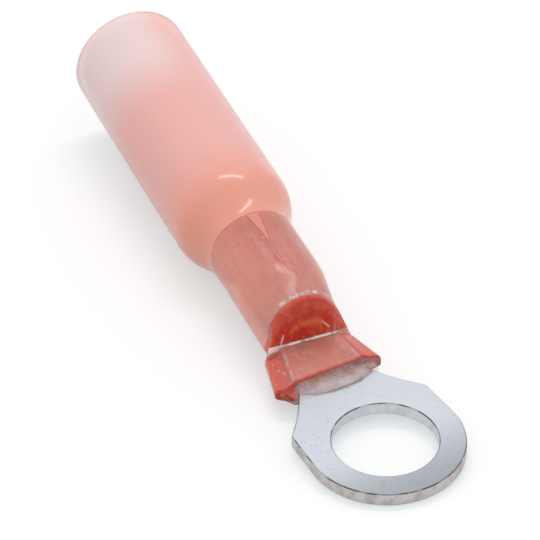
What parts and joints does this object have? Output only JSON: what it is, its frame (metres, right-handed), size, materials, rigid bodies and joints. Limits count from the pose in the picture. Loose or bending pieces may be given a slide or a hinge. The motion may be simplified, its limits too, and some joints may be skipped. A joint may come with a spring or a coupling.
{
  "type": "heat shrink ring terminal",
  "caption": "Ring terminal for a crimped wire: a flat tinned ring tongue and rolled barrel inside a translucent pink-red heat shrink sleeve lined with hot melt.",
  "frame": {"origin": "centre of the stud hole on the underside of the ring tongue", "axes": "+Z is the stud hole's axis, up through the tongue; +X runs along the tongue, from the ring toward the open end of the sleeve, where the wire leaves; +Y is across the tongue, and the barrel is bent away from it"},
  "size_m": [0.0372, 0.0106, 0.0064],
  "materials": {
    "tinned_copper": "matt bright tin plating with smooth stamped edges",
    "sleeve_film": "translucent pink-red heat shrink tube, satin gloss",
    "hot_melt": "clear pinkish hot melt adhesive with small bubbles"
  },
  "bodies": {
    "root": {"terminal": "tinned_copper", "sleeve": "sleeve_film", "lining": "hot_melt"}
  },
  "joints": []
}
